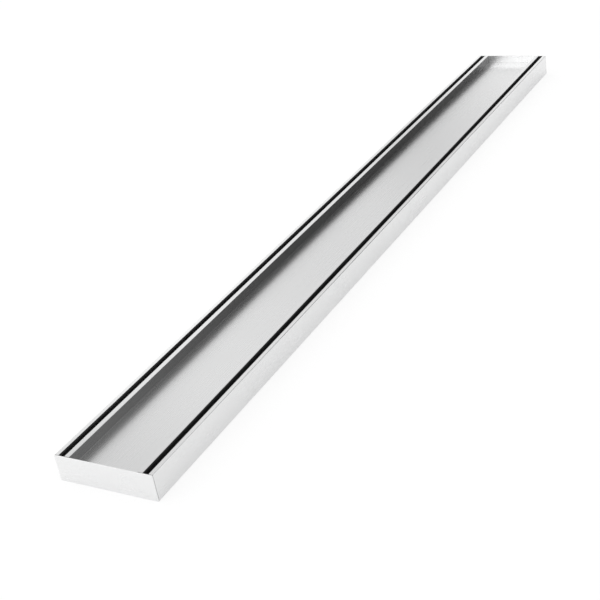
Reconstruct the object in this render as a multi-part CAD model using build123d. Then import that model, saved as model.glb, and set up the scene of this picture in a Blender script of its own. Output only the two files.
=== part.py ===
from build123d import *
import os

# Slim linear shower drain with a lift-out tray for a tile, in millimetres.
# X runs along the drain, Y across it and Z up. The origin is at the centre of the underside.

# Overall size
drain_length = 1000.0
drain_width = 100.0
drain_height = 26.0

# Base channel: a U-shaped extrusion whose inward lips are the outer rims
channel_wall = 2.0
channel_floor = 2.0
channel_rim = 4.5
channel_lip = 2.0
channel_corner_radius = 1.5
channel_edge_radius = 0.6
outlet_diameter = 80.0
rim_edge_radius = 0.3

# Tile tray: a narrower extrusion with outward rims, and a water slot along each side
slot_width = 5.5
tray_rim = 5.0
tray_lip = 2.0
tray_wall = 2.0
tray_floor = 2.0
recess_depth = 10.0
recess_corner_radius = 1.0
tray_heel_radius = 1.0
tray_end_clearance = 0.2

# End caps: a thin face plate, with a V-shaped seam at the channel and a rib that plugs into it
cap_plate = 1.2
cap_edge_chamfer = 0.3
cap_seam_chamfer = 0.2
cap_rib_thickness = 2.0
cap_rib_depth = 8.0
cap_rib_below_lip = 8.0
cap_rib_chamfer = 0.8
cap_fit_clearance = 0.2

# Support feet: moulded bridges with arches for the water
foot_length = 30.0
foot_from_end = 100.0
foot_from_outlet = 110.0
foot_clearance = 0.3
foot_deck = 2.5
foot_leg = 2.5
foot_arch_count = 4
foot_arch_radius = 3.0
foot_lug_width = 2.2
foot_lug_height = 3.0
foot_lug_chamfer = 0.8
foot_arm_width = 10.0
foot_arm_height = 3.0
foot_arm_rise = 4.5
foot_pad_thickness = 2.0
foot_pad_height = 7.5
foot_plan_radius = 0.8

# A rounding takes at most this share of the wall or gap that it ends
rounding_share = 0.45
same_place = 1e-6

# Sizes that follow from the ones above
channel_length = drain_length - 2 * cap_plate
channel_inside = drain_width - 2 * channel_wall
channel_mouth = drain_width - 2 * channel_rim
tray_length = channel_length - 2 * tray_end_clearance
tray_width = channel_mouth - 2 * slot_width
recess_width = tray_width - 2 * tray_rim
tray_body_width = recess_width + 2 * tray_wall
tray_underside = drain_height - recess_depth - tray_floor
foot_height = tray_underside - channel_floor


def across(width, low, high):
    """Rectangle on the cross-section, centred across the drain, from one height to another."""
    return Pos(0, low) * Rectangle(width, high - low, align=(Align.CENTER, Align.MIN))


def corners(profile, half_width, height):
    """The two mirrored corners of a cross-section at one place."""
    return [
        corner for corner in profile.vertices()
        if abs(abs(corner.X) - half_width) < same_place and abs(corner.Y - height) < same_place
    ]


def along(profile, length):
    """Carry a cross-section along the drain, the same distance each way from the middle."""
    return extrude(Plane.YZ * profile, amount=length / 2, both=True)


def make_base_channel():
    lip_underside = drain_height - channel_lip
    profile = across(drain_width, 0, drain_height)
    profile -= across(channel_inside, channel_floor, lip_underside)
    profile -= across(channel_mouth, lip_underside, drain_height)
    profile = fillet(corners(profile, channel_inside / 2, channel_floor), channel_corner_radius)
    profile = fillet(corners(profile, channel_mouth / 2, drain_height), rim_edge_radius)
    for height in (0, drain_height):
        profile = fillet(corners(profile, drain_width / 2, height), channel_edge_radius)
    outlet = Cylinder(outlet_diameter / 2, channel_floor, align=(Align.CENTER, Align.CENTER, Align.MIN))
    return along(profile, channel_length) - outlet


def make_tile_tray():
    recess_bottom = drain_height - recess_depth
    profile = across(tray_body_width, tray_underside, drain_height)
    profile += across(tray_width, drain_height - tray_lip, drain_height)
    profile -= across(recess_width, recess_bottom, drain_height)
    profile = fillet(corners(profile, recess_width / 2, recess_bottom), recess_corner_radius)
    profile = fillet(corners(profile, tray_body_width / 2, tray_underside), tray_heel_radius)
    for half_width in (recess_width / 2, tray_width / 2):
        profile = fillet(corners(profile, half_width, drain_height), rim_edge_radius)
    return along(profile, tray_length)


def make_end_cap():
    """The cap for the +X end: its plate covers the section and its rib follows the channel's inside."""
    outline = across(drain_width, 0, drain_height)
    outline = fillet(outline.vertices(), channel_edge_radius)
    plate = extrude(Plane.YZ * outline, amount=cap_plate)
    plate = chamfer(plate.faces().sort_by(Axis.X)[-1].edges(), cap_edge_chamfer)
    plate = chamfer(plate.faces().sort_by(Axis.X)[0].edges(), cap_seam_chamfer)
    rib_width = channel_inside - 2 * cap_fit_clearance
    rib_bottom = channel_floor + cap_fit_clearance
    rib_top = drain_height - channel_lip - cap_rib_below_lip
    rib = across(rib_width, rib_bottom, rib_top)
    rib = fillet(corners(rib, rib_width / 2, rib_bottom), channel_corner_radius)
    rib -= across(rib_width - 2 * cap_rib_thickness, rib_bottom + cap_rib_thickness, rib_top)
    rib = extrude(Plane.YZ * rib, amount=-cap_rib_depth)
    rib = chamfer(rib.faces().sort_by(Axis.X)[0].edges(), cap_rib_chamfer)
    return Pos(channel_length / 2, 0, 0) * (plate + rib)


def make_support_foot():
    """A foot at the middle of the drain: its elevation across the drain, cut to its outline from above."""
    lug_inside = tray_body_width + 2 * foot_clearance
    bridge_width = lug_inside + 2 * foot_lug_width
    foot_width = channel_inside - 2 * foot_clearance
    lug_top = tray_underside + foot_lug_height
    arm_bottom = channel_floor + foot_arm_rise
    pad_bottom = channel_floor + channel_corner_radius

    elevation = across(bridge_width, channel_floor, lug_top)
    elevation -= across(lug_inside, tray_underside, lug_top)
    elevation = chamfer(corners(elevation, lug_inside / 2, lug_top), foot_lug_chamfer)
    arch_pitch = (bridge_width - foot_leg) / foot_arch_count
    arch_height = foot_height - foot_deck
    arch = Rectangle(arch_pitch - foot_leg, 2 * arch_height)
    arch = fillet(arch.vertices(), min(foot_arch_radius, rounding_share * 2 * arch_height))
    elevation -= Pos(0, channel_floor) * GridLocations(arch_pitch, 1, foot_arch_count, 1) * arch
    between_pads = foot_width - 2 * foot_pad_thickness
    pads = across(foot_width, pad_bottom, pad_bottom + foot_pad_height)
    pads -= across(between_pads, pad_bottom, pad_bottom + foot_pad_height)
    arms = across(foot_width, arm_bottom, arm_bottom + foot_arm_height)
    arms -= across(bridge_width, arm_bottom, arm_bottom + foot_arm_height)
    elevation = elevation + pads + arms

    plan = Rectangle(foot_length, bridge_width)
    plan += Rectangle(foot_length, foot_width) - Rectangle(foot_length, between_pads)
    plan += Rectangle(foot_arm_width, foot_width)
    plan = fillet(plan.vertices(), min(foot_plan_radius, rounding_share * foot_pad_thickness))
    return along(elevation, foot_length) & extrude(plan, amount=drain_height)


def foot_places():
    """Distances of the feet from the middle: two beside the outlet and two near the ends."""
    by_outlet = outlet_diameter / 2 + foot_from_outlet
    by_end = drain_length / 2 - foot_from_end
    return (-by_end, -by_outlet, by_outlet, by_end)


end_cap = make_end_cap()
support_foot = make_support_foot()
nodes = {
    "base_channel": make_base_channel(),
    "tile_tray": make_tile_tray(),
    "end_cap_right": end_cap,
    "end_cap_left": Rot(0, 0, 180) * end_cap,
}
for number, place in enumerate(foot_places(), start=1):
    nodes[f"support_foot_{number}"] = Pos(place, 0, 0) * support_foot

os.makedirs("parts", exist_ok=True)
for name, solid in nodes.items():
    export_step(solid, f"parts/{name}.step")
    print(name, "volume", round(solid.volume, 1), "mm3")
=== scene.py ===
import math
import bpy
from mathutils import Matrix, Vector


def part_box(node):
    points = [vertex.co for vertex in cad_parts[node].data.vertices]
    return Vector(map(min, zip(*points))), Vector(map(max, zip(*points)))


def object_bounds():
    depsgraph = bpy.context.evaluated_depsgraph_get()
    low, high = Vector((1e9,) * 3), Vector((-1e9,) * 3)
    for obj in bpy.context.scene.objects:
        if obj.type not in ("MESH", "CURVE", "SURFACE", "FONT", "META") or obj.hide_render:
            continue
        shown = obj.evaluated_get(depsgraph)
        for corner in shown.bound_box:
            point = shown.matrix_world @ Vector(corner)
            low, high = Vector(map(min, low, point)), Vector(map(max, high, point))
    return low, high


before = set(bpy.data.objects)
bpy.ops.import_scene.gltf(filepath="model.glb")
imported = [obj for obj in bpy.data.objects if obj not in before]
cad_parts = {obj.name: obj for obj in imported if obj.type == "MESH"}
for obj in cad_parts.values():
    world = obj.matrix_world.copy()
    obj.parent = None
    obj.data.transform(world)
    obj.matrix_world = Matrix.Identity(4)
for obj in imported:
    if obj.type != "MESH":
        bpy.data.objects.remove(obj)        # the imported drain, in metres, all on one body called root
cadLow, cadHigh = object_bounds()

scene = bpy.context.scene
scene.view_settings.view_transform = "Standard"
mm = 0.001
print("frame loaded:", ", ".join(sorted(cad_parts)))

# small helpers for node trees, where an input is either a plain value or another node's socket
def setInputs(tree, node, inputs):
    for name, value in inputs.items():
        if isinstance(value, bpy.types.NodeSocket):
            tree.links.new(value, node.inputs[name])
        else:
            node.inputs[name].default_value = value

def addNode(tree, kind, inputs=None, **settings):
    node = tree.nodes.new(kind)
    for name, value in settings.items():
        setattr(node, name, value)
    setInputs(tree, node, inputs or {})
    return node

def addMath(tree, operation, first, second=0.0):
    return addNode(tree, "ShaderNodeMath", {0: first, 1: second}, operation=operation).outputs[0]

def addVectorMath(tree, operation, first, second=(0.0, 0.0, 0.0)):
    return addNode(tree, "ShaderNodeVectorMath", {0: first, 1: second}, operation=operation).outputs

def addSplit(tree, vector):
    return addNode(tree, "ShaderNodeSeparateXYZ", {0: vector}).outputs

def addMapRange(tree, value, low, high, toLow=0.0, toHigh=1.0, smooth=True):
    kind = "SMOOTHSTEP" if smooth else "LINEAR"
    limits = {"Value": value, "From Min": low, "From Max": high, "To Min": toLow, "To Max": toHigh}
    return addNode(tree, "ShaderNodeMapRange", limits, interpolation_type=kind).outputs["Result"]

def addMixValue(tree, share, first, second):
    sockets = {0: share, 2: first, 3: second}        # a Mix node's value inputs
    return addNode(tree, "ShaderNodeMix", sockets).outputs[0]

def addMixColour(tree, share, first, second, blend="MIX"):
    sockets = {0: share, 6: first, 7: second}        # and its colour inputs
    return addNode(tree, "ShaderNodeMix", sockets, data_type="RGBA", blend_type=blend).outputs[2]

def addTones(tree, value, tones):
    ramp = addNode(tree, "ShaderNodeValToRGB", {"Fac": value})
    stops = ramp.color_ramp.elements
    while len(stops) < len(tones):
        stops.new(1.0)
    for stop, (reach, tone) in zip(stops, tones):
        stop.position = reach
        stop.color = (tone, tone, tone, 1.0)
    return ramp.outputs["Color"]

floatSocket = "NodeSocketFloat"
vectorSocket = "NodeSocketVector"

def startGroup(name, inputs, output):
    group = bpy.data.node_groups.new(name, "ShaderNodeTree")
    for label, kind in inputs.items():
        group.interface.new_socket(label, in_out="INPUT", socket_type=kind)
    group.interface.new_socket(output, in_out="OUTPUT", socket_type=floatSocket)
    return group, group.nodes.new("NodeGroupInput").outputs, group.nodes.new("NodeGroupOutput").inputs

def useGroup(tree, group, inputs):
    return addNode(tree, "ShaderNodeGroup", inputs, node_tree=group).outputs[0]

# drawn grain: fine hairlines plus broad die lines, both long in the direction that Mapping stretches
grainLook = {
    "hairScale": 1.0,
    "hairDetail": 3.0,
    "wideScale": 0.07,
    "wideDetail": 2.0,
}

def makeGrainGroup(look):
    sockets = {"Vector": vectorSocket, "Broad Share": floatSocket}
    group, given, result = startGroup("drawnGrain", sockets, "Grain")
    lines = []
    for size in ("hair", "wide"):
        sockets = {"Vector": given["Vector"], "Scale": look[size + "Scale"], "Detail": look[size + "Detail"]}
        lines.append(addNode(group, "ShaderNodeTexNoise", sockets).outputs[0])
    group.links.new(addMixValue(group, given["Broad Share"], *lines), result["Grain"])
    return group

# handling marks: soft cloudy patches that dull the gloss a little
marksLook = {
    "detail": 4.0,
    "distortion": 0.6,
    "clearBelow": 0.35,
    "fullAbove": 0.7,
}

def makeMarksGroup(look):
    sockets = {"Vector": vectorSocket, "Patch Scale": floatSocket}
    group, given, result = startGroup("handlingMarks", sockets, "Mask")
    sockets = {"Vector": given["Vector"], "Scale": given["Patch Scale"]}
    sockets |= {"Detail": look["detail"], "Distortion": look["distortion"]}
    cloud = addNode(group, "ShaderNodeTexNoise", sockets).outputs[0]
    group.links.new(addMapRange(group, cloud, look["clearBelow"], look["fullAbove"]), result["Mask"])
    return group

# section zone: 1 inside a box of |x|, |y| and z, so one zone serves both sides and both ends of the drain
def makeZoneGroup():
    sockets = {"Vector": vectorSocket, "Low": vectorSocket, "High": vectorSocket, "Softness": floatSocket}
    group, given, result = startGroup("sectionZone", sockets, "Mask")
    place, low, high = (addSplit(group, given[name]) for name in ("Vector", "Low", "High"))
    mask = 1.0
    for axis in range(3):
        reach = place[axis] if axis == 2 else addMath(group, "ABSOLUTE", place[axis])
        risen = addMath(group, "ADD", low[axis], given["Softness"])
        falling = addMath(group, "SUBTRACT", high[axis], given["Softness"])
        mask = addMath(group, "MULTIPLY", mask, addMapRange(group, reach, low[axis], risen))
        mask = addMath(group, "MULTIPLY", mask, addMapRange(group, reach, falling, high[axis], 1.0, 0.0))
    group.links.new(mask, result["Mask"])
    return group

grainGroup = makeGrainGroup(grainLook)
marksGroup = makeMarksGroup(marksLook)
zoneGroup = makeZoneGroup()
print("shared node groups built")

def addZones(tree, place, zones, softness):
    mask = 0.0
    for low, high in zones:
        sockets = {"Vector": place, "Low": low, "High": high, "Softness": softness}
        mask = addMath(tree, "MAXIMUM", mask, useGroup(tree, zoneGroup, sockets))
    return mask

def startMaterial(name):
    material = bpy.data.materials.new(name)
    material.use_nodes = True
    tree = material.node_tree
    tree.nodes.clear()
    return material, tree, addNode(tree, "ShaderNodeTexCoord").outputs["Object"]

def addPrincipled(tree, inputs):
    shader = addNode(tree, "ShaderNodeBsdfPrincipled", inputs).outputs[0]
    addNode(tree, "ShaderNodeOutputMaterial", {"Surface": shader})

# satin aluminium with its grain one way: tinted zones carry painted light and shade, lighter or darker,
# and shaded zones carry painted shade, dull, dark and not metal, where they lie out of the light
def makeAluminium(name, look):
    material, tree, place = startMaterial(name)
    sockets = {"Vector": place, "Scale": look["grainPerMetre"]}
    stretched = addNode(tree, "ShaderNodeMapping", sockets).outputs[0]
    grain = useGroup(tree, grainGroup, {"Vector": stretched, "Broad Share": look["broadShare"]})
    marks = useGroup(tree, marksGroup, {"Vector": place, "Patch Scale": look["patchPerMetre"]})
    shaded = addZones(tree, place, look["shaded"], look["zoneSoftness"])

    colour = addMixColour(tree, grain, look["darkGrain"], look["lightGrain"])
    # painted light and shade: each tinted zone multiplies the colour lighter or darker
    for zone, tint, softness in look["paintedLightAndShade"]:
        mask = addZones(tree, place, [zone], softness)
        colour = addMixColour(tree, mask, colour, (tint, tint, tint, 1.0), "MULTIPLY")
    # painted shade: the shaded zones take a dark colour
    colour = addMixColour(tree, shaded, colour, look["shadedColour"])

    gloss = addMapRange(tree, grain, *look["grainSpread"], look["glossy"], look["dull"], smooth=False)
    gloss = addMath(tree, "ADD", gloss, addMath(tree, "MULTIPLY", marks, look["marksDull"]))
    gloss = addMixValue(tree, shaded, gloss, look["shadedDull"])

    normal = addNode(tree, "ShaderNodeNewGeometry").outputs["Normal"]
    across = addVectorMath(tree, "CROSS_PRODUCT", normal, look["grainAxis"])[0]
    # rims lean a little outwards, as rolled edges do
    side = addMath(tree, "SIGN", addSplit(tree, place)["Y"])
    rims = addZones(tree, place, look["rims"], look["zoneSoftness"])
    outward = addMath(tree, "MULTIPLY", addMath(tree, "MULTIPLY", side, rims), look["rimLean"])
    leaning = addNode(tree, "ShaderNodeCombineXYZ", {"Y": outward}).outputs[0]
    leaning = addVectorMath(tree, "NORMALIZE", addVectorMath(tree, "ADD", normal, leaning)[0])[0]

    ridges = {"Height": grain, "Strength": look["bump"], "Distance": look["grainDepth"], "Normal": leaning}
    addPrincipled(tree, {
        "Base Color": colour,
        "Metallic": addMath(tree, "SUBTRACT", 1.0, shaded),
        "Roughness": gloss,
        "Anisotropic": look["drawnOut"],
        "Tangent": across,          # the gloss is drawn out across the grain
        "Normal": addNode(tree, "ShaderNodeBump", ridges).outputs[0],
    })
    return material

# places on the section, for the zones of finish
trayLow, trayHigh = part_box("tile_tray")
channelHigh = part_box("base_channel")[1]
drainTop = channelHigh.z
drainHalf = channelHigh.y
seamAt = channelHigh.x
sheet = 2.0 * mm             # walls, floors and lips of both extrusions
brightRim = 4.0 * mm         # the channel's rim, as far as the lip's rounded edge
recessFace = trayHigh.y - 5.0 * mm
recessCorner = 1.0 * mm
wallFade = 0.4 * mm          # over this the painted shade on the recess wall comes in
crisp = 0.02 * mm
skin = 0.1 * mm              # a zone reaches this far past the face that it covers
edge = 0.12 * mm             # a dark side stops this far from its rim's edge
topSkin = 0.15 * mm
seamSkin = 0.05 * mm
far = 10.0                   # a zone's limit that nothing reaches

rimTop = ((-far, -far, drainTop - topSkin), (far, far, far))
capInside = ((-far, -far, -far), (seamAt + seamSkin, far, far))
# painted shade: the recess walls are darkened where they lie in shade
recessWall = ((-far, recessFace - recessCorner, -far), (far, recessFace + sheet - wallFade, drainTop))

channelLook = {
    "grainPerMetre": (14.0, 3200.0, 3200.0),
    "grainAxis": (1.0, 0.0, 0.05),      # a little off X, because a face square to it would get no tangent
    "grainSpread": (0.25, 0.75),
    "broadShare": 0.2,
    "patchPerMetre": 14.0,
    "darkGrain": (0.76, 0.762, 0.764, 1.0),
    "lightGrain": (0.82, 0.821, 0.823, 1.0),
    # painted shade: the rims' tops are a little darker
    "paintedLightAndShade": [(rimTop, 0.95, crisp)],
    "rims": [rimTop],
    "rimLean": 0.05,            # as a slope
    "shaded": [
        # painted shade inside under the lips and on the lips' rounded edges, and a dark joint line with a
        # cap
        ((-far, -far, sheet - skin), (far, drainHalf - sheet + skin, drainTop - edge)),
        ((-far, -far, sheet - skin), (far, drainHalf - brightRim, far)),
        ((seamAt - topSkin, -far, -far), (far, far, far)),
    ],
    "shadedColour": (0.038, 0.038, 0.039, 1.0),
    "shadedDull": 0.6,
    "zoneSoftness": crisp,
    "glossy": 0.20,
    "dull": 0.27,
    "marksDull": 0.04,
    "drawnOut": 0.5,
    "bump": 0.03,
    "grainDepth": 0.02 * mm,
}
channelMetal = makeAluminium("channelAluminium", channelLook)

trayLook = {
    **channelLook,
    "darkGrain": (0.68, 0.682, 0.683, 1.0),
    "lightGrain": (0.71, 0.712, 0.713, 1.0),
    # painted light on the rims' tops, and painted shade on the recess walls
    "paintedLightAndShade": [(rimTop, 1.03, crisp), (recessWall, 0.36, wallFade)],
    "rimLean": 0.03,
    "shaded": [
        # painted shade on the walls' outer faces under the rims, the rims' sides, and the underside
        ((-far, recessFace + sheet - skin, -far), (far, far, drainTop - sheet + skin)),
        ((-far, trayHigh.y - edge, -far), (far, far, drainTop - edge)),
        ((-far, -far, -far), (far, far, trayLow.z + skin)),
    ],
    "glossy": 0.262,
    "dull": 0.282,
    "marksDull": 0.01,
    "drawnOut": 0.6,
    "bump": 0.015,
}
trayMetal = makeAluminium("trayAluminium", trayLook)

capLook = {
    **channelLook,
    "grainPerMetre": (3200.0, 14.0, 3200.0),
    "grainAxis": (0.0, 1.0, 0.05),
    "darkGrain": (0.81, 0.812, 0.814, 1.0),
    "lightGrain": (0.86, 0.861, 0.863, 1.0),
    # painted light: the cap's inner face is lighter
    "paintedLightAndShade": [(capInside, 1.08, crisp)],
    "rims": [],
    "shaded": [
        # painted shade on the inner rib, and on the ends of the slots
        ((-far, -far, -far), (seamAt - crisp, far, far)),
        ((-far, trayHigh.y, -far), (seamAt + 2 * crisp, drainHalf - brightRim, drainTop - topSkin)),
    ],
    "glossy": 0.24,
    "dull": 0.30,
}
capMetal = makeAluminium("capAluminium", capLook)

# black moulded plastic with a fine spark-eroded texture
footLook = {
    "texturePerMetre": 2600.0,
    "textureDetail": 2.0,
    "textureDepth": 0.03 * mm,
    "darkPlastic": (0.016, 0.016, 0.017, 1.0),
    "lightPlastic": (0.032, 0.032, 0.034, 1.0),
    "patchPerMetre": 40.0,
    "glossy": 0.48,
    "dull": 0.62,
    "bump": 0.25,
}

def makeFootPlastic(name, look):
    material, tree, place = startMaterial(name)
    texture = {"Vector": place, "Scale": look["texturePerMetre"], "Detail": look["textureDetail"]}
    fine = addNode(tree, "ShaderNodeTexNoise", texture).outputs[0]
    marks = useGroup(tree, marksGroup, {"Vector": place, "Patch Scale": look["patchPerMetre"]})
    pits = {"Height": fine, "Strength": look["bump"], "Distance": look["textureDepth"]}
    addPrincipled(tree, {
        "Base Color": addMixColour(tree, marks, look["darkPlastic"], look["lightPlastic"]),
        "Roughness": addMapRange(tree, marks, 0.0, 1.0, look["glossy"], look["dull"]),
        "Normal": addNode(tree, "ShaderNodeBump", pits).outputs[0],
    })
    return material

footPlastic = makeFootPlastic("footPlastic", footLook)

finishes = {
    "base_channel": channelMetal,
    "tile_tray": trayMetal,
    "end_cap": capMetal,
    "support_foot": footPlastic,
}
for name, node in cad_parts.items():
    finish = next(material for start, material in finishes.items() if name.startswith(start))
    node.data.materials.clear()
    node.data.materials.append(finish)
print("finishes set on", len(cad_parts), "nodes")

# floor: pale, keeps a soft shadow, a painted shadow under the drain, and can't be seen from below
floorLook = {
    "half": 9.0,
    "albedo": (0.9, 0.9, 0.9, 1.0),
    # painted shadow: the floor under the drain's footprint is dark
    "paintedShadowUnderDrain": (0.02, 0.02, 0.02, 1.0),
    "lift": 0.17,       # makes up the floor's loss, for the camera and for mirrors
    "veil": 0.7,        # share of plain white over the shadow, for the camera
    "margin": 1.0 * mm,
}

def makeFloorPaint(name, look):
    material, tree, place = startMaterial(name)
    margin = look["margin"]
    footprint = ((-far, -far, -far), (cadHigh.x - margin, cadHigh.y - margin, far))
    covered = addZones(tree, place, [footprint], margin)
    clearFloor = addMath(tree, "SUBTRACT", 1.0, covered)
    path = addNode(tree, "ShaderNodeLightPath").outputs
    mirrored = addMath(tree, "MAXIMUM", path["Is Glossy Ray"], path["Is Transmission Ray"])
    seen = addMath(tree, "MAXIMUM", path["Is Camera Ray"], mirrored)
    lift = addMath(tree, "MULTIPLY", addMath(tree, "MULTIPLY", seen, clearFloor), look["lift"])
    veil = addMath(tree, "MULTIPLY", path["Is Camera Ray"], clearFloor)
    veil = addMath(tree, "MULTIPLY", veil, look["veil"])

    colour = addMixColour(tree, covered, look["albedo"], look["paintedShadowUnderDrain"])
    diffuse = addNode(tree, "ShaderNodeBsdfDiffuse", {"Color": colour}).outputs[0]
    lifted = addNode(tree, "ShaderNodeEmission", {"Strength": lift}).outputs[0]
    pale = addNode(tree, "ShaderNodeAddShader", {0: diffuse, 1: lifted}).outputs[0]
    white = addNode(tree, "ShaderNodeEmission", {"Strength": 1.0}).outputs[0]
    veiled = addNode(tree, "ShaderNodeMixShader", {0: veil, 1: pale, 2: white}).outputs[0]
    clear = addNode(tree, "ShaderNodeBsdfTransparent").outputs[0]
    behind = addNode(tree, "ShaderNodeNewGeometry").outputs["Backfacing"]
    shown = addNode(tree, "ShaderNodeMixShader", {0: behind, 1: veiled, 2: clear}).outputs[0]
    addNode(tree, "ShaderNodeOutputMaterial", {"Surface": shown})
    return material

def makeFloor(name, look):
    half = look["half"]
    corners = [(-half, -half, 0.0), (half, -half, 0.0), (half, half, 0.0), (-half, half, 0.0)]
    mesh = bpy.data.meshes.new(name)
    mesh.from_pydata(corners, [], [(0, 1, 2, 3)])
    mesh.materials.append(makeFloorPaint(name, look))
    floor = bpy.data.objects.new(name, mesh)
    scene.collection.objects.link(floor)

makeFloor("studioFloor", floorLook)

# world: plain white for the camera, and a soft light that is a little stronger from the key light's side
studioLook = {
    "white": (1.0, 1.0, 1.0, 1.0),
    "keyTurn": 157.0,           # degrees from +X towards +Y
    "keyHeight": 18.0,
    "keyInside": 14.0,
    "keyOutside": 36.0,
    "keyMirrored": (1.68, 1.68, 1.68, 1.0),
    "lightAway": 0.65,
    "lightTowards": 1.2,
    "leftTones": [              # each tone is at a reach along +X, as the metal mirrors it
        (0.54, 0.80), (0.67, 1.14), (0.75, 1.01), (0.785, 0.89),
        (0.805, 1.22), (0.845, 0.58), (0.87, 0.96), (0.91, 1.42),
    ],
    "rightTones": [
        (0.40, 0.95), (0.60, 0.75), (0.68, 0.34), (0.77, 0.08),
        (0.86, 0.06), (0.885, 0.30), (0.95, 0.90),
    ],
    "leanTones": [(0.40, 0.98), (0.62, 0.81), (0.86, 1.22)],     # share of the left tones, by lean
    "rightLean": (0.25, -0.35),      # where left gives way to right
}

def makeStudio(look):
    world = bpy.data.worlds.new("studio")
    scene.world = world
    world.use_nodes = True
    tree = world.node_tree
    tree.nodes.clear()
    direction = addNode(tree, "ShaderNodeTexCoord").outputs["Generated"]
    ahead, left, up = addSplit(tree, direction)
    turn, rise = math.radians(look["keyTurn"]), math.radians(look["keyHeight"])
    key = (math.cos(rise) * math.cos(turn), math.cos(rise) * math.sin(turn), math.sin(rise))
    keyward = addVectorMath(tree, "DOT_PRODUCT", direction, key)["Value"]
    light = addMapRange(tree, keyward, -1.0, 1.0, look["lightAway"], look["lightTowards"], smooth=False)

    # what metal mirrors: a pale left side, a right side that darkens ahead, and a bright key light
    sideways = addNode(tree, "ShaderNodeCombineXYZ", {"Y": left, "Z": up}).outputs[0]
    lean = addSplit(tree, addVectorMath(tree, "NORMALIZE", sideways)[0])["Y"]
    sides = [addTones(tree, ahead, look[name]) for name in ("leftTones", "rightTones")]
    sides[0] = addMixColour(tree, 1.0, sides[0], addTones(tree, lean, look["leanTones"]), "MULTIPLY")
    mirrored = addMixColour(tree, addMapRange(tree, lean, *look["rightLean"]), *sides)
    inside, outside = (math.cos(math.radians(look[name])) for name in ("keyInside", "keyOutside"))
    mirrored = addMixColour(tree, addMapRange(tree, keyward, outside, inside), mirrored, look["keyMirrored"])

    path = addNode(tree, "ShaderNodeLightPath").outputs
    colour = addMixColour(tree, path["Is Glossy Ray"], light, mirrored)
    colour = addMixColour(tree, path["Is Camera Ray"], colour, look["white"])
    background = addNode(tree, "ShaderNodeBackground", {"Color": colour, "Strength": 1.0}).outputs[0]
    addNode(tree, "ShaderNodeOutputWorld", {"Surface": background})

makeStudio(studioLook)
print("floor and studio light made")

# camera at the photograph's angle: place and aim in metres, roll in degrees, lens and sensor in millimetres
cameraLook = {
    "place": (-1.07150, -0.58546, 0.56660),
    "aim": (-0.21678, -0.03328, 0.02600),
    "roll": -10.221,
    "lens": 71.137,
    "sensor": 36.0,
    "clip": (0.01, 50.0),
}

def makeCamera(look):
    data = bpy.data.cameras.new("camera")
    data.sensor_width = look["sensor"]
    data.lens = look["lens"]
    data.clip_start, data.clip_end = look["clip"]
    camera = bpy.data.objects.new("camera", data)
    scene.collection.objects.link(camera)
    place, aim = Vector(look["place"]), Vector(look["aim"])
    ahead = (aim - place).normalized()
    level = ahead.cross(Vector((0, 0, 1))).normalized()
    upright = level.cross(ahead)
    roll = math.radians(look["roll"])
    right = level * math.cos(roll) + upright * math.sin(roll)
    up = upright * math.cos(roll) - level * math.sin(roll)
    turn = Matrix((right, up, -ahead)).transposed()
    camera.matrix_world = Matrix.Translation(place) @ turn.to_4x4()
    scene.camera = camera

makeCamera(cameraLook)
print("camera set")
